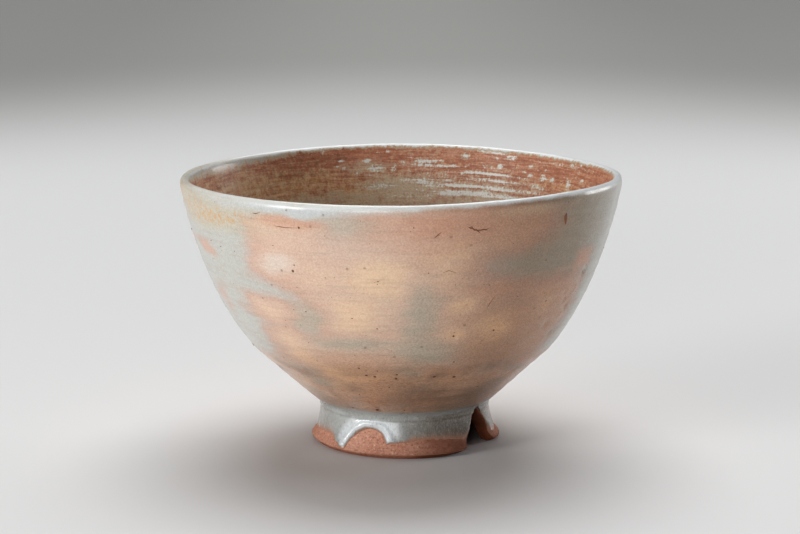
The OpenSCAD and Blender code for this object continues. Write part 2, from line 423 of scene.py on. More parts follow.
def foot_glaze_finish(tree):
    at = tree.place()
    depth, thin_and_shade = tree.attribute("depth"), tree.attribute("thin_and_shade")
    soft = tree.cloud(at, 3, 4, 0.6) - 0.5
    streak = tree.cloud(tree.place((1, 1, 0.25)), 1.1, 3)
    dabs = tree.cloud(tree.place((1.4, 1.4, 0.8)), 0.7, 4, 0.75)
    body = tree.blend(tree.cloud(at, 5, 3), (152, 154, 149), (176, 180, 178))
    # Thin glaze goes darker and browner: partly clay showing through, partly painted shade on the right of the
    # foot
    thin_coat_and_shade = tree.blend(tree.between(dabs, 0.25, 0.75), (142, 134, 123), (80, 69, 56))
    body = tree.stain(body, thin_and_shade + soft * 0.6, 0.0, 1.0, thin_coat_and_shade)
    shade = tree.blend(tree.between(depth + soft * 0.3, 0.05, 0.42), (164, 116, 90), body)
    shade = tree.stain(shade, depth + soft * 0.25, 0.48, 0.74, (216, 221, 223))
    shade = tree.stain(shade, streak, 0.5, 0.8, (122, 114, 104), 0.3)
    shade = tree.stain(shade, dabs, 0.56, 0.66, (112, 94, 78), 0.55)
    shade = tree.stain(shade, dabs, 0.43, 0.32, (208, 211, 210), 0.45 - thin_and_shade * 0.28)
    # At its top the coat takes the dark grey of the pooled glaze above: painted shade in the crease
    shade = tree.blend(tree.attribute("foot_pool_and_shade"), shade, (130, 125, 116))
    normal = tree.bump(soft * 0.4 + streak * 0.2 + dabs * 0.6, 0.55, 0.2)
    return {
        "Base Color": shade, "Roughness": 0.26 + soft * 0.12, "Normal": normal,
        "Coat Weight": 0.4, "Coat Roughness": 0.1}


def clay_finish(tree):
    at = tree.place()
    broad = tree.cloud(at, 8, 4, 0.6)
    grit = tree.cloud(at, 0.7, 4, 0.75)
    lines = tree.cloud(tree.place((1, 1, 8)), 4, 3)
    shade = tree.blend(tree.between(broad, 0.3, 0.7), (182, 122, 98), (202, 148, 125))
    shade = tree.stain(shade, grit, 0.52, 0.66, (112, 64, 46), 0.7)
    shade = tree.stain(shade, grit, 0.46, 0.32, (230, 192, 170), 0.7)
    shade = tree.stain(shade, lines, 0.52, 0.75, (142, 92, 72), 0.35)
    # Darker, redder clay: partly smoked in the fire, partly painted shade in the wedge, at the bevel, on the
    # right and in the hollow
    smoked = tree.attribute("smoked")
    shade = tree.blend(smoked, shade, tree.blend(broad, (96, 42, 21), (128, 70, 42)))
    # Past 1 the clay goes near black: painted shade deep in the wedge, partly smoked clay
    shade = tree.stain(shade, smoked, 1.0, 1.25, (34, 24, 18))
    normal = tree.bump(grit * 0.6 + lines * 0.4, 0.6, 0.25)
    return {"Base Color": shade, "Roughness": 0.9, "Normal": normal, "Specular IOR Level": 0.3}


def mark_finish(size, detail, dark, light):
    """What builds the finish of the marks burnt into the coat, mottled between two colours."""
    def build(tree):
        shade = tree.blend(tree.cloud(tree.place(), size, detail), dark, light)
        return {"Base Color": shade, "Roughness": 0.5}

    return build


GLAZE = finish("flashed_glaze", glaze_finish)
FOOT_GLAZE = finish("foot_glaze", foot_glaze_finish)
CLAY = finish("bare_clay", clay_finish)
IRON = finish("iron_marks", mark_finish(1.5, 2, (82, 48, 34), (124, 76, 50)))
RUST = finish("rust_marks", mark_finish(1.0, 3, (116, 66, 40), (152, 94, 60)))


# Meshes

def new_object(name, data):
    obj = bpy.data.objects.new(name, data)
    bpy.context.scene.collection.objects.link(obj)
    return obj


def set_material(mesh, material):
    mesh.materials.clear()
    mesh.materials.append(material)


def add_values(mesh, name, values):
    """Keeps one number for each point of a mesh."""
    if name in mesh.attributes:
        mesh.attributes.remove(mesh.attributes[name])
    attribute = mesh.attributes.new(name, "FLOAT", "POINT")
    attribute.data.foreach_set("value", np.asarray(values, np.float32))


def points_of(mesh):
    flat = np.empty(len(mesh.vertices) * 3, np.float32)
    mesh.vertices.foreach_get("co", flat)
    return flat.reshape(-1, 3).astype(float) / MM


def set_points(mesh, points):
    mesh.vertices.foreach_set("co", (points * MM).astype(np.float32).ravel())
    mesh.update()


def turn_of(points):
    """Turn in degrees, to the right of the front, from -180 to 180."""
    return (np.degrees(np.arctan2(points[:, 1], points[:, 0]) - FRONT) + 180) % 360 - 180


def plain_mesh(obj):
    """Replaces an object's modifiers by their result."""
    depsgraph = bpy.context.evaluated_depsgraph_get()
    mesh = bpy.data.meshes.new_from_object(
        obj.evaluated_get(depsgraph), preserve_all_data_layers=True, depsgraph=depsgraph)
    obj.modifiers.clear()
    obj.data = mesh
    return mesh


def run_nodes(obj, group, values):
    """Runs a node tree on an object and keeps the result as a plain mesh."""
    modifier = obj.modifiers.new(group.name, "NODES")
    modifier.node_group = group
    for item in group.interface.items_tree:
        if item.in_out == "INPUT" and item.name in values:
            modifier[item.identifier] = values[item.name]
    return plain_mesh(obj)


class Section:
    """A closed section and the sheet of rings that the turning tree rolls round the bowl's axis."""

    def __init__(self, name, path, around, sharp=()):
        self.path = np.asarray(path, float)
        rings = len(self.path)
        poles = self.path[:, 0] < 1e-6
        first = np.r_[0, np.cumsum(np.where(poles, 1, around))]
        index = [first[i] + np.arange(around) * (not poles[i]) for i in range(rings)]
        self.ring = np.concatenate([np.full(1 if p else around, i) for i, p in enumerate(poles)])
        step = np.concatenate([np.zeros(1) if p else np.arange(around) for p in poles])
        self.turn = (step / around * 360 + 180) % 360 - 180
        faces = []
        for i in range(rings):
            j = (i + 1) % rings
            a, b = index[i], index[j]
            a2, b2 = np.roll(a, -1), np.roll(b, -1)
            if poles[i] and poles[j]:
                continue
            corners = (a, b2, b) if poles[i] else (a, a2, b) if poles[j] else (a, a2, b2, b)
            faces += np.stack(corners, 1).tolist()
        self.height = self.path[self.ring, 1]
        radius = self.path[self.ring, 0]
        theta = np.radians(self.turn) + FRONT
        self.points = np.stack([radius * np.cos(theta), radius * np.sin(theta), self.height], 1)
        out = right_of(self.path)
        self.mesh = bpy.data.meshes.new(name)
        flat = np.stack([self.turn, run_of(self.path)[self.ring], np.zeros(len(self.ring))], 1) * MM
        self.mesh.from_pydata(flat.tolist(), [], faces)
        self.values(radius=radius * MM, height=self.height * MM, turns=step / around)
        self.values(run=run_of(self.path)[self.ring] * MM, out_r=out[self.ring, 0], out_z=out[self.ring, 1])
        self.values(wave=lip_wave(self.turn)
                    * np.clip((self.height - WAVE_FROM) / (BOWL_H - WAVE_FROM), 0, 1) ** 2)
        edges = np.empty(len(self.mesh.edges) * 2, int)
        self.mesh.edges.foreach_get("vertices", edges)
        ends = self.ring[edges.reshape(-1, 2)]
        crease = (ends[:, 0] == ends[:, 1]) & np.isin(ends[:, 0], sharp)
        sharp_edge = self.mesh.attributes.new("sharp_edge", "BOOLEAN", "EDGE")
        sharp_edge.data.foreach_set("value", crease)

    def values(self, **named):
        for name, numbers in named.items():
            add_values(self.mesh, name, np.broadcast_to(numbers, len(self.ring)))


def turning_tree():
    """Rolls a sheet round the axis, with spiral ridges, dents, the foot's shift and an uneven lip."""
    tree, given, end = node_group("turned_piece", (
        "Ridge height", "Ridge pitch", "Dent depth", "Dent size", "Foot shift", "Shift top", "Lip wave"))
    theta = tree.named("turns") * (2 * math.pi) + FRONT
    cosine, sine = theta.math("COSINE", theta), theta.math("SINE", theta)
    radius, height = tree.named("radius"), tree.named("height")

    def lumps(size, detail):
        at = tree.add("GeometryNodeInputPosition")
        sockets = {"Vector": at, "Scale": 1 / size, "Detail": detail}
        return tree.add("ShaderNodeTexNoise", sockets) - 0.5

    rolled = tree.joined(radius * cosine, radius * sine, height)
    sockets = {"Geometry": given["Geometry"], "Position": rolled}
    round_piece = tree.add("GeometryNodeSetPosition", sockets)
    phase = tree.named("run") / given["Ridge pitch"] + tree.named("turns") + lumps(0.03, 1.0) * 0.9
    crest = phase.math("SINE", phase * (2 * math.pi)) * (lumps(0.02, 2.0) * 1.6 + 0.75)
    sockets = {"Geometry": round_piece, "Name": "crest", "Value": crest}
    marked = tree.add("GeometryNodeStoreNamedAttribute", sockets, data_type="FLOAT", domain="POINT")
    ridge = tree.named("crest") * tree.named("ridges") * given["Ridge height"]
    dents = lumps(given["Dent size"], 2.0) * given["Dent depth"] * tree.named("dents") * 2
    move = ridge + dents + tree.named("swell")
    out_r = tree.named("out_r")
    out = tree.joined(out_r * cosine, out_r * sine, tree.named("out_z"))
    left_over = height.math("MAXIMUM", 1 - height / given["Shift top"], 0.0) ** SHIFT_POWER
    shift = tree.vector("SCALE", tuple(ACROSS), Scale=left_over * given["Foot shift"])
    rise = tree.joined(0.0, 0.0, tree.named("wave") * given["Lip wave"])
    offset = tree.vector("ADD", tree.vector("SCALE", out, Scale=move), tree.vector("ADD", shift, rise))
    shaped = tree.add("GeometryNodeSetPosition", {"Geometry": marked, "Offset": offset})
    return end(tree.add("GeometryNodeSetShadeSmooth", {"Geometry": shaped}))


TURNING = turning_tree()
DENT_SIZE = 14.0


def turned(section, name, material, ridge=0.0, pitch=4.4, dent=0.0, shift=FOOT_SHIFT):
    """A finished turned piece."""
    obj = new_object(name, section.mesh)
    run_nodes(obj, TURNING, {
        "Ridge height": ridge * MM, "Ridge pitch": pitch * MM,
        "Dent depth": dent * MM, "Dent size": DENT_SIZE * MM,
        "Foot shift": shift * MM, "Shift top": SHIFT_TOP * MM, "Lip wave": MM, "Material": material})
    return obj


# Colours of the coat

def listed(groups):
    """Patches in painting order, each with the name of its tint in front."""
    return tuple((name, *patch) for name, *patches in groups for patch in patches)


# Warm flashes in the grey glaze: turn, height, half width in degrees, half height, share
FLASHES = (
    (-31, 64.5, 12, 7.8, 1), (-31.5, 74.4, 10.5, 2.6, 1), (-27, 70.5, 9, 3, 0.7),
    (-4, 61, 24, 8.5, 1), (15, 74, 25, 8, 1), (-12.5, 49, 14, 8, 1), (-41.5, 48.3, 8.8, 3.8, 1),
    (-37, 37.3, 10, 5.6, 1), (-2, 38, 4, 3, 0.9), (0, 22, 62, 10.5, 1), (180, 22, 125, 10.5, 1),
    (-18, 36, 16, 5, 0.9), (18, 51.5, 9, 6, 1), (15, 42, 6.5, 5, 1), (29, 42.5, 11, 7, 1),
    (30, 55, 16, 5, 0.5), (50, 49, 13, 8.5, 0.85), (47, 37, 11, 5, 0.85), (25, 35, 20, 5, 0.5),
    (5, 46, 10, 12, 0.7), (58.5, 61, 4.5, 2.8, 0.8), (-64, 63.2, 4.6, 2.2, 0.7), (-68, 48, 4.5, 4, 0.25),
)
# Tints painted one over the other; each patch has the same five numbers
OUTSIDE = listed((
    ("cream", (-5.5, 60.5, 6, 5, 1), (-18, 60, 10, 4, 0.35), (12, 64.5, 4, 5, 0.6),
     (11, 71, 5, 5, 0.5), (-14, 48.5, 5.5, 4.5, 0.85), (-42, 47, 6, 2.4, 0.5), (-37, 38, 5.5, 4.5, 0.6),
     (-35, 33, 6, 2, 0.5), (18, 52, 4, 3, 0.8), (15.5, 42.3, 3, 2.4, 0.8), (29, 43, 6, 3.6, 0.9),
     (47, 49.5, 4, 3, 0.5), (45, 38, 4, 2.4, 0.4), (-27, 29.5, 4, 2, 0.5), (-20, 27, 10, 2.5, 0.4),
     (20, 27.5, 8, 2.5, 0.4), (9, 66, 9, 8, 0.35), (-6, 49, 5, 6, 0.3), (-22, 28, 14, 3.5, 0.3)),
    ("smoke", (-13.5, 75, 8, 3.6, 0.85), (5.5, 48.5, 5, 9, 0.9), (9, 36.6, 10, 3.6, 0.95),
     (-29, 46.5, 4, 4.6, 0.85), (-17, 39.2, 12, 2.5, 0.85), (8, 23.5, 7, 3, 0.5), (-37, 25, 7, 3, 0.5)),
    ("rose", (-36, 75.3, 5.2, 1.9, 0.6), (-26.5, 75.3, 6, 1.8, 0.5), (30, 56, 12, 2.5, 0.5),
     (-64, 63.2, 4.5, 2.2, 0.35), (58.5, 61, 4, 2.5, 0.5), (12, 75.5, 20, 5.5, 0.75), (8, 66, 9, 5, 0.3),
     (-14, 19, 8, 2.6, 0.5), (19, 18.5, 6, 2.2, 0.6)),
    # Umber patches: brown glaze, and painted shade low on the wall, at the right and under the lip at the
    # right
    ("umber", (6, 20, 11, 4.5, 0.6), (0, 17, 70, 3, 0.4), (36, 36, 16, 6, 0.3),
     (38, 18, 19, 5, 0.85), (-3, 26, 6, 4, 0.3), (0, 31.6, 14, 0.9, 0.3), (37, 75, 12, 4.5, 0.12),
     (48, 47, 10, 9, 0.18)),
    ("rose", (-35, 63, 9, 6, 0.4)),
    ("pearl", (-34.5, 63, 6.5, 3.4, 0.75), (-15, 69.5, 8, 3.5, 0.3)),
    ("milk", (-33, 79.4, 26, 1.5, 0.95)),
    ("ochre", (-58, 74.3, 21, 4.2, 1), (-100, 81, 34, 3, 0.7)),
    ("rose", (-28, 76.2, 9, 1.4, 0.3)),
    ("ochre", (34, 78.7, 6, 1.6, 0.6)),
    # Pooled glaze round the foot of the wall, darkened as painted shade in the crease; the umber band over it
    # is painted shade in the crease too
    ("pool", (0, 10, 400, 5.8, 0.95), (-32, 14, 30, 2.4, 0.4)),
    ("umber", (0, 15.4, 400, 1.6, 0.3)),
))
# How brown and dark the glaze is at each turn: partly the glaze's own colour, partly painted shade on the
# right, the side away from the key lamp
TONES_AND_SHADE = (
    (-180, 0.6), (-110, 0.2), (-60, 0), (-3, 0), (11, 0.3), (25, 0.75), (36, 1), (52, 1), (64, 0.55),
    (73, 0.1), (110, 0.6), (180, 0.6),
)
# Dents in the wall, and bumps below zero: turn, height, half width, depth
DENTS = (
    (62.5, 56, 1.4, 0.6), (56, 49, 1.1, 0.5), (59, 46.5, 1.3, 0.6), (54.5, 51, 0.9, 0.35),
    (51, 42, 1.3, 0.35), (57, 38, 1.3, 0.4), (60, 51, 1.2, -0.3), (57.5, 44, 1.2, -0.3),
    (-14, 15.2, 0.9, 0.25), (-11, 28.6, 1, 0.2), (13, 28.6, 1, 0.2), (-2, 28.8, 0.9, 0.2),
    (9, 73, 0.9, 0.3), (18.5, 51, 0.9, 0.3), (12.5, 64.5, 0.9, -0.25), (16, 42.2, 0.8, 0.25),
    (29, 43, 0.8, 0.25),
)
# Pale glaze in broken lines, spots and a thin film, and tints of the clay
INSIDE = listed((
    ("streak", (150, 73, 13, 0.5, 1), (170, 74.7, 10, 0.5, 0.85), (147, 71, 13, 0.5, 0.9),
     (155, 68.6, 22, 0.6, 1), (156, 66.4, 18, 1, 0.9), (178, 65.4, 10, 1.4, 0.55),
     (173, 75.8, 4, 1.4, 0.78), (187, 73.5, 3.5, 1.8, 0.7), (174, 69.8, 7, 1.4, 0.8),
     (186, 68.3, 9, 1.6, 0.6), (168, 69.6, 10, 4, 0.5), (165, 70.2, 6, 1.2, 0.6),
     (152, 80.3, 5.5, 0.9, 1), (145, 78.6, 2.5, 0.9, 0.95), (160, 78, 2, 1.4, 0.8),
     (148, 75.6, 1.4, 0.8, 1), (132, 73.5, 1.4, 1.7, 0.8), (128, 73.6, 1.1, 1.5, 0.75),
     (121, 73.3, 1.3, 1.9, 0.8), (134, 70.4, 4, 0.9, 0.8), (118, 78.8, 20, 0.8, 0.5),
     (236, 77, 18, 0.4, 0.5), (155, 70, 34, 7, 0.42), (140, 75, 40, 7, 0.26)),
    ("film", (179, 67.5, 15, 5, 1), (190, 74, 10, 2.5, 0.7), (150, 69, 20, 4, 0.6),
     (172, 79, 14, 2, 0.45), (238, 72, 26, 5, 0.45)),
    ("dark", (206, 77.8, 20, 3.2, 0.55), (215, 74, 10, 2.5, 0.5), (135, 77, 30, 2, 0.3)),
    ("olive", (230, 69.5, 40, 6, 0.8), (196, 67, 24, 5.5, 0.7), (245, 76, 16, 2.5, 0.5),
     (120, 71, 14, 3, 0.5)),
))
TINTS = ("cream", "rose", "smoke", "umber", "milk", "pearl", "ochre", "pool")
WASHES = ("streak", "dark", "olive", "film")
SOFT_EDGE = 5.0
PATCH_POWER = 2.4  # 2 makes round patches, more makes them squarer
LOW_TINTS, SPATTER, BLISTERS = 130, 44, 260


def cover_of(turn, height, at_turn, at_height, wide, high, share):
    """How much of one patch lies on each point."""
    across = np.abs((turn - at_turn + 180) % 360 - 180) / wide
    up = np.abs((height - at_height) / high)
    reach = (across ** PATCH_POWER + up ** PATCH_POWER) ** (1 / PATCH_POWER)
    least = min(wide, high)
    edge = min(SOFT_EDGE, 0.9 * least)
    return share * smooth(edge, -edge, (reach - 1) * least)


def draws(pick, *ranges):
    """A random number from each range."""
    return [pick.uniform(*ends) for ends in ranges]


def low_wall():
    """Small tints above the foot, where ash and flame left the glaze uneven."""
    pick, kinds = random.Random(3), ("umber", "cream", "rose", "smoke")
    return tuple((
        pick.choice(kinds), *draws(pick, (-180, 180), (16, 31), (3, 9), (0.9, 2.6), (0.35, 0.75)))
        for _ in range(LOW_TINTS))


def far_side(patches):
    """Patches for the side that the photograph doesn't show, in the manner of the front."""
    pick, found = random.Random(5), []
    for *name, turn, height, wide, high, share in patches:
        if wide < 60:
            aside, up, wider, higher, less = draws(pick, (-6, 6), (-3, 3), (0.9, 1.5), (0.8, 1.2), (0.7, 1))
            place = 180 - turn * 1.6 + aside, height + up
            found.append((*name, *place, wide * wider, high * higher, share * less))
    return tuple(found)


def spatter():
    """Small spots of pale glaze high on the inside of the back."""
    pick = random.Random(17)
    ranges = (112, 205), (71, 80.5), (0.6, 1.3), (0.3, 0.7), (0.6, 0.9)
    return tuple(("streak", *draws(pick, *ranges)) for _ in range(SPATTER))


def near_inside():
    """Streaks and tints for the inside of the front, which the lip hides."""
    pick, found = random.Random(7), []
    kinds = (("streak", 34, 10, 0.6, 0.9), ("olive", 9, 16, 4, 0.7), ("dark", 7, 14, 2.5, 0.6))
    for name, count, wide, high, share in kinds:
        for _ in range(count):
            *place, wider, higher, less = draws(pick, (-80, 80), (54, 79), (0.3, 1.6), (0.7, 1.6), (0.8, 1))
            found.append((name, *place, wide * wider, high * higher, share * less))
    return tuple(found)


def paint(section, side):
    """Shares of each tint at each point; side is the distance past the lip's top, inwards."""
    points, true_turn = section.points, section.turn
    warp_turn = wander(points, 14, 3, 2.5) * 3 + wander(points, 5, 11, 2.5) * 1.6
    warp_height = wander(points, 16, 29, 1.5) * 1.2 + wander(points, 6, 41, 1.5) * 0.7
    calm = np.where(side < 0, 1, 0.35)
    turn, height = true_turn + warp_turn * calm, section.height + warp_height * calm
    flash = np.zeros(len(height))
    for patch in far_side(FLASHES) + FLASHES:
        cover = cover_of(turn, height, *patch)
        flash = flash + cover * (1 - flash)
    shares = {name: np.zeros(len(height)) for name in TINTS}
    for name, *patch in far_side(OUTSIDE) + low_wall() + OUTSIDE:
        cover = cover_of(turn, height, *patch)
        for other in shares:
            shares[other] *= 1 - cover
        shares[name] += cover
    for name in shares:
        shares[name] *= smooth(1.8, 0.6, side)

    # The pale lip, narrower at the right and stained at the left
    lip_width = 2.3 - 0.55 * smooth(-5, 25, true_turn) * smooth(78, 55, true_turn)
    from_top = np.abs(side + wander(points, 4, 51, 2) * 0.4) / np.where(side < 0, lip_width, 1.7)
    stained = 0.42 * smooth(-12, -35, true_turn) * smooth(0.3, -1.2, side)
    shares["lip"] = np.exp(-from_top ** 6) * (1 - stained)

    # Low on the wall, except at the left, the tone rises: painted shade under the overhang, partly browner
    # glaze
    low = smooth(40, 28, height) * (smooth(-60, -14, true_turn) + smooth(-110, -160, true_turn))
    shares["tone"] = np.maximum(np.interp(true_turn, *np.array(TONES_AND_SHADE).T), low * 0.82)
    shares["flash"] = flash * (side < 0)
    shares["coarse"] = smooth(36, 24, height) * (side < 0)

    # Inside, brown clay shows; at the left the lip fades into it slowly
    slow = smooth(-160, -125, true_turn) * smooth(-80, -95, true_turn)
    inwards = side - 0.9 - slow * 0.8 + wander(points, 2.2, 57) * 0.4
    shares["brown"] = np.clip(inwards / (1.7 + slow * 2.2), -1, 2)
    washes = INSIDE + spatter() + near_inside()
    for name in WASHES:
        covers = [cover_of(turn, height, *patch) for wash, *patch in washes if wash == name]
        shares[name] = np.max(covers, 0)
    for name, most, top, full in (("streak", 0.9, 62, 46), ("film", 0.8, 73, 64)):
        shares[name] = np.maximum(shares[name], most * smooth(top, full, height + warp_height * 2))
    section.values(**shares)


def dents_at(section):
    """How far the dents and blisters push the wall out; below zero they pull it in."""
    depth = np.zeros(len(section.turn))
    radius = np.hypot(*section.points[:, :2].T)
    pick = random.Random(13)
    ranges = (-180, 180), (17, 78), (0.7, 1.0), (-0.12, 0.18)
    blisters = [draws(pick, *ranges) for _ in range(BLISTERS)]
    for at_turn, at_height, wide, deep in (*DENTS, *blisters):
        across = np.radians((section.turn - at_turn + 180) % 360 - 180) * radius
        depth += deep * np.exp(-(across ** 2 + (section.height - at_height) ** 2) / wide ** 2)
    return -depth


def coat(name, first, last, back_step, around, **relief):
    """One coat of glaze, from one place to another along the glazed profile."""
    front, back = glazed[first:last + 1], clay_under[first:last + 1]
    back = back[np.unique(np.r_[np.arange(0, len(back), back_step), len(back) - 1])][::-1]
    sharp = [0, len(front) + len(back) - 1]
    if last < len(glazed) - 1:
        sharp += [len(front) - 1, len(front)]
    section = Section(name, np.vstack([front, back]), around, sharp)
    normals = np.vstack([right_of(glazed)[first:last + 1], np.zeros((len(back), 2))])
    section.values(out_r=normals[section.ring, 0], out_z=normals[section.ring, 1])
    run = np.r_[glazed_run[first:last + 1], np.full(len(back), glazed_run[first])][section.ring]
    shown = section.ring < len(front)
    side = run - glazed_run[lip_top]
    faded = smooth(0, 4, run) * shown
    section.values(run=run * MM, dents=faded, swell=dents_at(section) * (shown & (side < 0)) * MM)
    section.values(ridges=faded * smooth(3, 8, np.abs(side)))
    paint(section, side)
    return turned(section, name, GLAZE, **relief)


inner_end = len(glazed) - 1
outer_coat = coat("outer_coat", 0, band_out, back_step=6, around=600, ridge=0.05, pitch=4.4, dent=0.16)
lip_coat = coat("lip_coat", band_out, band_in, back_step=3, around=600, dent=0.16)
inner_coat = coat("inner_coat", band_in, inner_end, back_step=8, around=480, ridge=0.04, pitch=2.1, dent=0.16)


# Clay under the coats

CLAY_GAP = 0.03  # between the coats' backs and the clay, so that no two faces meet
FOOT_LAP = 0.3  # how far the foot reaches into the wall
GRAIN = 0.34  # size of the facets of the rough clay


def clay_wall():
    """The thrown wall, which shows only in the hollow of the foot."""
    under = even([(0, RECESS_H - NUB_H), (NUB_R, RECESS_H), (RECESS_R, RECESS_H)], UNDER_STEP)
    top = [(RECESS_R, FOOT_EDGE[1]), (FOOT_EDGE[0] - 1.2, FOOT_EDGE[1])]
    body = (glazed - right_of(glazed) * (GLAZE_T + CLAY_GAP))[::6]
    count = len(under)
    path = np.vstack([under, top, body, [(0, FLOOR_H)]])
    section = Section("clay_wall", path, 300, (count - 1, count, count + 1))
    shown = (section.ring < count) * smooth(0.5, 2, section.path[section.ring, 0])
    section.values(ridges=shown, dents=shown, swell=0.0, smoked=0.0)
    return turned(section, "clay_wall", CLAY, ridge=0.1, pitch=1.9, dent=0.1)


# Wedge cut in the foot, as across and height, seen from outside
CUT = (
    (-0.4, 13.1), (-2.5, 8.5), (-4, 6), (-5.7, 3.6), (-6.9, 2.1), (-8.3, 1), (-10, 0.3), (-12, 0),
    (-13, -1), (8.9, -1), (8.3, 0), (7.7, 1.4), (6.3, 4.8), (4.3, 7.8), (1.2, 11.2),
)
COAT_STOP = 0.45  # how far the glaze ends from the wedge
WORN = 1.2  # how far the corners beside the wedge are worn back


def cut_through(obj, wider=0.0):
    """Takes the wedge out of a piece of the foot, a little wider if wanted."""
    mesh = bpy.data.meshes.new("cutter")
    outline = [((y + math.copysign(wider, y)) * MM, (z + wider) * MM) for y, z in CUT]
    points = [(x, y, z) for x in (12 * MM, 40 * MM) for y, z in outline]
    count = len(CUT)
    sides = [((i + 1) % count, (i + 1) % count + count, i + count, i) for i in range(count)]
    ends = [tuple(range(count - 1, -1, -1)), tuple(range(count, 2 * count))]
    mesh.from_pydata(points, [], ends + sides)
    cutter = new_object("cutter", mesh)
    modifier = obj.modifiers.new("cut", "BOOLEAN")
    modifier.operation, modifier.solver, modifier.object = "DIFFERENCE", "EXACT", cutter
    result = plain_mesh(obj)
    bpy.data.objects.remove(cutter)
    return result


def distance_to_cut(points):
    """How far points lie outside the wedge, as seen from in front of it."""
    y, z = points[:, 1], points[:, 2]
    nearest, inside = np.full(len(y), 99.0), np.zeros(len(y), bool)
    for (ay, az), (by, bz) in zip(CUT, CUT[1:] + CUT[:1]):
        wide, high = by - ay, bz - az
        along = np.clip(((y - ay) * wide + (z - az) * high) / (wide ** 2 + high ** 2), 0, 1)
        nearest = np.minimum(nearest, np.hypot(y - ay - along * wide, z - az - along * high))
        crosses = (az > z) != (bz > z)
        inside ^= crosses & (y < ay + (z - az) / (high or 1) * wide)
    return np.where(points[:, 0] > 0, np.where(inside, -nearest, nearest), 99.0)


def worn(points):
    """Points of the foot with the bare corners beside the wedge rounded off."""
    radius = np.hypot(points[:, 0], points[:, 1])
    pull = WORN * smooth(3.0, 0, distance_to_cut(points)) ** 2
    pull = pull * smooth(23.5, 27, radius) * smooth(7, 3, points[:, 2])  # low on the outside
    pull = pull * (0.65 + 0.35 * smooth(-6, 4, points[:, 1]))  # less on the near side
    kept = 1 - pull / radius
    return points * np.stack([kept, kept, np.ones(len(radius))], 1)


def cut_foot():
    """The clay ring, softened at its edges and rough where it is bare."""
    base = [(FOOT_IN_R + INNER_BEVEL, 0), (FOOT_WIDE[0] - FOOT_WIDE[1], 0)]
    inner = [(RECESS_R, FOOT_EDGE[1] + FOOT_LAP), (RECESS_R, RECESS_H), (FOOT_IN_R, INNER_BEVEL)]
    section = Section("cut_foot", np.vstack([base, flare[::3], [foot_top + (0, FOOT_LAP)], inner]), 360)
    section.values(ridges=0.0, dents=0.0, swell=0.0)
    obj = turned(section, "cut_foot", CLAY, shift=0)
    cut_through(obj)
    remesh = obj.modifiers.new("grain", "REMESH")
    remesh.mode, remesh.voxel_size = "VOXEL", GRAIN * MM
    soften = obj.modifiers.new("soften", "SMOOTH")
    soften.factor, soften.iterations = 0.5, 4
    mesh = plain_mesh(obj)
    points = points_of(mesh)
    normals = np.empty(len(points) * 3, np.float32)
    mesh.vertices.foreach_get("normal", normals)
    height = points[:, 2]
    lumps = wander(points, 5, 71) * 0.14 + wander(points, 1.6, 83) * 0.07
    rings = np.sin(height * 2 * math.pi / 1.3 + wander(points, 8, 97) * 2) * 0.03
    points += normals.reshape(-1, 3) * ((lumps + rings) * smooth(0, 1.2, height))[:, None]
    points[:, 2] = np.maximum(points[:, 2], 0)

    # Darkened clay: in the wedge, smoked clay with painted shade; at the bevel, painted shade near the floor;
    # on the right, painted shade away from the key lamp; in the hollow, smoked clay with painted shade
    turn, height, radius = turn_of(points), points[:, 2], np.hypot(points[:, 0], points[:, 1])
    cut_dark_and_shade = smooth(0.8, 0.3, distance_to_cut(points))
    cut_dark_and_shade = cut_dark_and_shade * (1.04 + 0.08 * smooth(3.5, 7.5, height + wander(points, 3, 5) * 1.5))
    bevel_and_right_shade = 0.75 * smooth(1.9, 0.9, height) + 0.7 * smooth(-5, 25, turn) * smooth(82, 66, turn)
    hollow = smooth(FOOT_IN_R + 1.4, FOOT_IN_R + 0.6, radius)
    smoked = np.maximum(np.minimum(np.maximum(cut_dark_and_shade, bevel_and_right_shade), 1.1), hollow)
    set_points(mesh, lean_over(worn(points)))
    add_values(mesh, "smoked", smoked)
    mesh.polygons.foreach_set("use_smooth", np.ones(len(mesh.polygons), bool))
    set_material(mesh, CLAY)
    return obj


# Lower edge of the glaze on the foot: turn and height
GLAZE_EDGE = (
    (-180, 4.6), (-150, 5.6), (-120, 4.4), (-95, 3.8), (-85, 4), (-60, 4.7), (-53, 4), (-48, 2.6),
    (-44, 1.9), (-40, 1.9), (-34, 3.6), (-12, 4.1), (-8, 4.5), (0, 4.8), (10, 5.5), (25, 5.3), (40, 4.6),
    (60, 4.4), (72, 3.9), (90, 3.6), (120, 5.4), (150, 4.2), (180, 4.6),
)
# How thin that glaze is at each turn, and how much painted shade it has on the right, away from the key lamp
FOOT_THIN_AND_SHADE = (
    (-180, 0.5), (-140, 0.2), (-90, 0.4), (-62, 0.5), (-48, 0.1), (-14, 0.15), (20, 0.8), (40, 1),
    (80, 0.8), (130, 0.3), (180, 0.5),
)
# Bare mark left by the finger that held the foot: its middle, half width, height and lean
MARK_TURN, MARK_W, MARK_H, MARK_LEAN = -26, 6.5, 8.3, 0.45
MARK_R = 26.5  # radius of the foot there
FILLET_FROM = 10.8  # height where the foot's coat starts to turn out to the wall


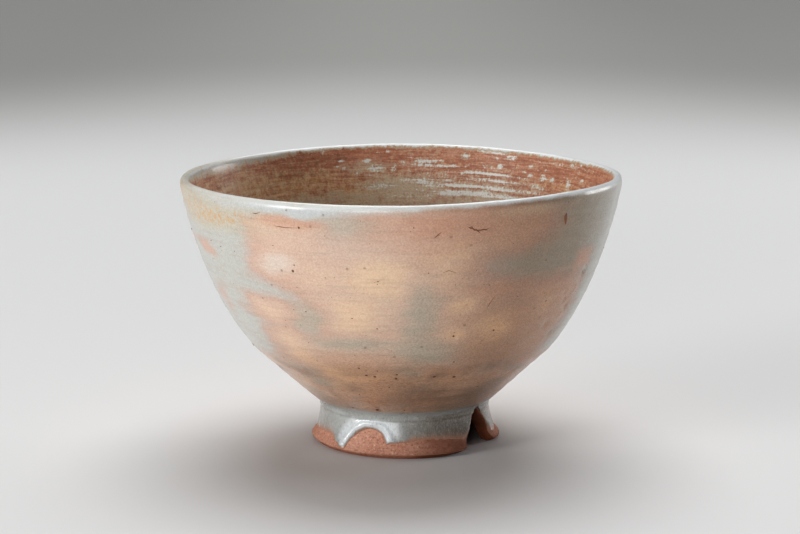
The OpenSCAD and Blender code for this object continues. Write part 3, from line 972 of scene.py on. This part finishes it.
def foot_thickness(points):
    """Thickness of the glaze on the foot; below zero it sinks under the clay."""
    turn, height = turn_of(points), points[:, 2]
    edge = np.interp(turn, *np.array(GLAZE_EDGE).T)
    above = height - edge - wander(points, 4, 13) * 0.35 - wander(points, 1.3, 19) * 0.2
    across = np.radians(turn - MARK_TURN - (height - 2) * MARK_LEAN) * MARK_R
    from_mark = (np.hypot(across / MARK_W, (height - 1) / (MARK_H - 1)) - 1) * MARK_W
    from_mark += wander(points, 2.5, 23) * 0.25
    cover = np.minimum(above, from_mark)
    taper = 0.4 + 0.9 * smooth(0.5, 3, from_mark)
    coated, sunk = FOOT_GLAZE_T * (1 - np.exp(-cover / taper)), -0.14 * (1 - np.exp(cover / 0.25))
    thick = np.where(cover > 0, coated, sunk)
    roll = 0.34 * np.exp(-((from_mark - 1.5) / 0.95) ** 2) + 0.22 * smooth(8.0, 3.0, from_mark)
    thick += roll * smooth(0, 0.8, cover)
    at_cut = smooth(1.4, -0.2, distance_to_cut(points))
    deeper = thick - 0.12 * at_cut * smooth(0, -0.1, thick)
    return np.where(thick > 0, thick * (1 - at_cut), deeper)


def foot_coat():
    """The coat on the foot, from its uneven lower edge up to the skirt of the wall."""
    foot_start = flare[flare[:, 1] < FILLET_FROM][-1] + (FOOT_GLAZE_T, 0)
    skin = flare + right_of(flare) * FOOT_GLAZE_T
    skin = skin[skin[:, 1] < FILLET_FROM - 0.3]
    fillet = bend([foot_start, FOOT_EDGE + (0.1, 0.2), FOOT_EDGE + 1.5 * cone_dir], 20)
    front = even(np.vstack([skin, fillet, [skirt]]), FOOT_STEP)
    back = [clay_under[0], (24.4, 12.0), *(flare - right_of(flare) * 0.3)[::-8], (27.6, 1.4)]
    count = len(front)
    sharp = (0, count - 1, count, count + len(back) - 1)
    section = Section("foot_coat", np.vstack([front, back]), 640, sharp)
    shown = section.ring < count
    swell = (foot_thickness(section.points) - FOOT_GLAZE_T) * shown * smooth(11.5, 9.5, section.height)
    swell = swell + 0.22 * np.exp(-((section.height - 11.3) / 0.5) ** 2) * shown
    out = np.vstack([right_of(front), np.zeros((len(back), 2))])[section.ring]
    section.values(out_r=out[:, 0], out_z=out[:, 1], ridges=0.0, dents=0.0, swell=swell * MM)
    obj = turned(section, "foot_coat", FOOT_GLAZE, shift=0)
    mesh = cut_through(obj, COAT_STOP)
    points = points_of(mesh)
    height, depth = points[:, 2], foot_thickness(points)
    # Thinness of the glaze, which also carries painted shade on the right
    thin_and_shade = np.interp(turn_of(points), *np.array(FOOT_THIN_AND_SHADE).T)
    add_values(mesh, "depth", depth + (FOOT_GLAZE_T - depth) * smooth(10, 12, height))
    add_values(mesh, "thin_and_shade", thin_and_shade * smooth(13.5, 11.5, height))
    # Dark grey at the top of the foot's coat: pooled glaze with painted shade in the crease
    add_values(mesh, "foot_pool_and_shade", 0.6 * smooth(12.4, 14.2, height))
    set_points(mesh, lean_over(worn(points)))
    set_material(mesh, FOOT_GLAZE)
    return obj


# Marks burnt into the coat

# Cracks and streaks: half width, then the turn and height of each bend
CRACKS = (
    (0.2, (16.3, 75), (16.9, 74.6), (17.3, 74.7), (17.9, 74), (18.4, 74.1), (18.9, 73.6), (19.4, 73.2)),
    (0.17, (18.6, 74), (19.4, 73.9), (20.3, 74.1), (20.8, 73.9), (21.6, 74.4)),
    (0.18, (8.1, 72.2), (8.9, 73), (9.7, 73.8)),
    (0.12, (8.9, 73), (9.9, 72.7)),
    (0.16, (27.3, 76.5), (28.2, 75.7)),
    (0.12, (24.7, 50.4), (25.2, 51.8), (26.3, 54)),
    (0.16, (-38.8, 77.1), (-37.8, 77), (-36.4, 77.5)),
    (0.12, (-56, 64.7), (-54.6, 65.2)),
    (0.12, (-7, 59.2), (-5.4, 59.8)),
    (0.10, (10.8, 62), (12.2, 62.6), (14.2, 61.8)),
    (0.14, (62, 56.6), (63.4, 55.4)),
)
RUST_LINES = (
    (0.5, (45, 76.2), (44.9, 75.4), (45.1, 74.4), (45.4, 73)),
    (0.12, (-32.5, 74.1), (-31, 74), (-29, 73.9), (-26, 74.1)),
)
SMALL_SPECKS, FAR_SPECKS = 420, 44
# Larger specks: turn, height and size
SPECKS = (
    (-25.5, 74.2, 0.38), (-29.2, 61.2, 0.45), (-28.5, 63, 0.26), (-6, 59.5, 0.24), (16, 42.2, 0.36),
    (29, 43, 0.38), (-28, 49, 0.24), (46, 50, 0.3), (-7, 45, 0.24), (12.5, 28.5, 0.52),
    (20.5, 28, 0.55), (-10, 28.5, 0.5), (-13, 29, 0.42), (-2, 28, 0.46), (-1.6, 29.6, 0.42),
    (-15, 31.5, 0.36), (-14.2, 15, 0.6), (-60, 66, 0.26), (-55, 65, 0.22), (-49, 64.5, 0.2),
    (-14, 48, 0.22), (41, 63, 0.26), (18, 33.6, 0.28), (-8.5, 30.8, 0.24), (-5, 24.5, 0.26),
    (-30, 15, 0.3), (2, 15.2, 0.3), (34, 53, 0.22), (-20, 60, 0.18), (7, 62, 0.2),
    (-34, 68.2, 0.2), (3, 75.2, 0.22), (-32, 49.2, 0.2), (24, 57.5, 0.2), (36, 22.8, 0.28),
    (-20, 21, 0.28),
)


def speck_tree():
    """Sets a flattened bead on every point, flat against the surface."""
    tree, given, end = node_group("specks", ("Size", "Flatness"))
    bead = tree.add("GeometryNodeMeshIcoSphere", {"Radius": 1.0, "Subdivisions": 1})
    out = tree.named("out", "FLOAT_VECTOR")
    facing = tree.add("FunctionNodeAlignRotationToVector", {"Vector": out}, axis="Z")
    size = tree.named("size") * given["Size"]
    scale = tree.joined(size, size, size * given["Flatness"])
    sockets = {"Points": given["Geometry"], "Instance": bead, "Rotation": facing, "Scale": scale}
    return end(tree.add("GeometryNodeInstanceOnPoints", sockets))


def crack_tree():
    """Makes thin tapered lines out of strings of points."""
    tree, given, end = node_group("cracks", ("Width",))
    curve = tree.add("GeometryNodeMeshToCurve", {"Mesh": given["Geometry"]})
    ring = tree.add("GeometryNodeCurvePrimitiveCircle", {"Resolution": 6, "Radius": 1.0})
    width = tree.named("size") * given["Width"]
    sockets = {"Curve": curve, "Profile Curve": ring, "Scale": width, "Fill Caps": True}
    return end(tree.add("GeometryNodeCurveToMesh", sockets))


def marks(name, group, spots, edges, sizes, values):
    """An object made by a node tree from spots, which are points with outward directions."""
    mesh = bpy.data.meshes.new(name)
    mesh.from_pydata([spot for spot, _ in spots], edges, [])
    out = np.array([normal for _, normal in spots], np.float32)
    mesh.attributes.new("out", "FLOAT_VECTOR", "POINT").data.foreach_set("vector", out.ravel())
    add_values(mesh, "size", sizes)
    obj = new_object(name, mesh)
    run_nodes(obj, group, values)
    return obj


def marks_on(*coats):
    """Specks, cracks and rust lines, set on the faces of the coats."""
    corners, faces = [], []
    for piece in coats:
        faces += [[len(corners) + k for k in face.vertices] for face in piece.data.polygons]
        corners += [corner.co for corner in piece.data.vertices]
    wall = BVHTree.FromPolygons(corners, faces)

    def spot(turn, height):
        out = direction(turn)
        return wall.ray_cast(out * 0.12 + Vector((0, 0, height * MM)), -out)[:2]

    pick = random.Random(9)
    specks = list(SPECKS)
    specks += [draws(pick, (-180, 180), (16, 79), (0.06, 0.17)) for _ in range(SMALL_SPECKS)]
    specks += [draws(pick, (75, 285), (16, 79), (0.2, 0.4)) for _ in range(FAR_SPECKS)]
    places = [spot(turn, height) for turn, height, _ in specks]
    values = {"Size": MM, "Flatness": 0.45, "Material": IRON}
    spotted = marks("specks", speck_tree(), places, [], [size for *_, size in specks], values)

    def lines(name, strings, material):
        places, edges, sizes = [], [], []
        for wide, *bends in strings:
            for k, (turn, height) in enumerate(bends):
                if k:
                    edges.append((len(places) - 1, len(places)))
                places.append(spot(turn, height))
                sizes.append(wide * (0.35 if k in (0, len(bends) - 1) else 1))
        return marks(name, crack_tree(), places, edges, sizes, {"Width": MM, "Material": material})

    return spotted, lines("cracks", CRACKS, RUST), lines("rust_lines", RUST_LINES, RUST)


pieces = [
    (outer_coat, "flashed_glaze", "outer_glaze"),
    (lip_coat, "pale_glaze", "lip_glaze"),
    (inner_coat, "thin_glaze", "inner_glaze"),
    (clay_wall(), "clay", "thrown_bowl"),
    (cut_foot(), "clay", "foot_ring"),
    (foot_coat(), "foot_glaze", "foot_glaze"),
]
for piece, slot, node in pieces:
    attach(piece, "root")
    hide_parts(node)
for piece in marks_on(outer_coat, lip_coat):
    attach(piece, "root")


# Floor, light and camera

FLOOR_R, FLOOR_SIDES = 6.0, 64
# Away from the bowl the floor is painted darker, and darker still at the far corners: painted shade where the
# light falls off
NEAR_FLOOR, FAR_FLOOR_SHADE, FLOOR_CORNER_SHADE = (226, 225, 224), (165, 164, 160), (146, 145, 142)


def floor_finish(tree):
    at = tree.add("ShaderNodeTexCoord", out="Object")
    away = tree.vector("LENGTH", at, out="Value")
    across = tree.vector("DOT_PRODUCT", at, tuple(ACROSS), out="Value")
    # Painted shade: darker with distance and at the far corners
    shade = tree.blend(tree.between(away, 0.5, 1.36), NEAR_FLOOR, FAR_FLOOR_SHADE)
    corner = tree.between(across.math("ABSOLUTE", across), 0.0, 0.34) * tree.between(away, 0.6, 1.3)
    shade = tree.blend(corner * 0.8, shade, FLOOR_CORNER_SHADE)
    return {"Base Color": shade, "Roughness": 0.9, "Specular IOR Level": 0.1}


floor_mesh = bpy.data.meshes.new("floor")
steps = np.linspace(0, 2 * math.pi, FLOOR_SIDES + 1)[:-1]
floor_rim = [(FLOOR_R * math.cos(a), FLOOR_R * math.sin(a), 0) for a in steps]
floor_mesh.from_pydata(floor_rim, [], [tuple(range(FLOOR_SIDES))])
set_material(floor_mesh, finish("floor", floor_finish))
floor = new_object("floor", floor_mesh)


def light(name, kind, turn, elevation, energy, distance=0.0, **settings):
    """A light that shines on the bowl from a turn and an elevation."""
    data = bpy.data.lights.new(name, kind)
    data.energy = energy
    for setting, value in settings.items():
        setattr(data, setting, value)
    obj, out = new_object(name, data), direction(turn, elevation)
    obj.location = Vector((0, 0, 0.04)) + out * distance
    obj.rotation_euler = out.to_track_quat("Z", "Y").to_euler()


# Round soft lamps, and wide even light from far away. Each gives about its level on a face turned to it.
for name, turn, elevation, distance, size, level in (
        ("key", -60, 10, 2.4, 1.0, 0.62), ("front", -16, 6, 2.4, 1.1, 0.28), ("fill", 120, 7, 1.8, 0.8, 0.33)):
    light(name, "AREA", turn, elevation, level * (math.pi * distance) ** 2, distance, shape="DISK", size=size)
for name, turn, elevation, spread, level in (("top", 175, 76, 50, 0.26), ("back", 175, 59, 48, 0.575)):
    light(name, "SUN", turn, elevation, level * math.pi, angle=math.radians(spread))

world = bpy.data.worlds.new("studio")
bpy.context.scene.world = world
world.use_nodes = True
background = world.node_tree.nodes["Background"]
background.inputs["Color"].default_value = (0.4, 0.68, 1.0, 1)
background.inputs["Strength"].default_value = 0.04

EYE_AWAY, EYE_LEFT, EYE_UP = 0.6459, 0.0003, 0.172
EYE_DOWN = math.radians(10.49)
camera = bpy.data.cameras.new("camera")
camera.lens, camera.sensor_width, camera.clip_start = 97.9, 36, 0.01
eye = new_object("camera", camera)
eye.location = TOWARDS * EYE_AWAY - ACROSS * EYE_LEFT + Vector((0, 0, EYE_UP))
look = -TOWARDS * math.cos(EYE_DOWN) - Vector((0, 0, 1)) * math.sin(EYE_DOWN)
eye.rotation_euler = look.to_track_quat("-Z", "Y").to_euler()
bpy.context.scene.camera = eye
bpy.context.scene.view_settings.view_transform = "Standard"
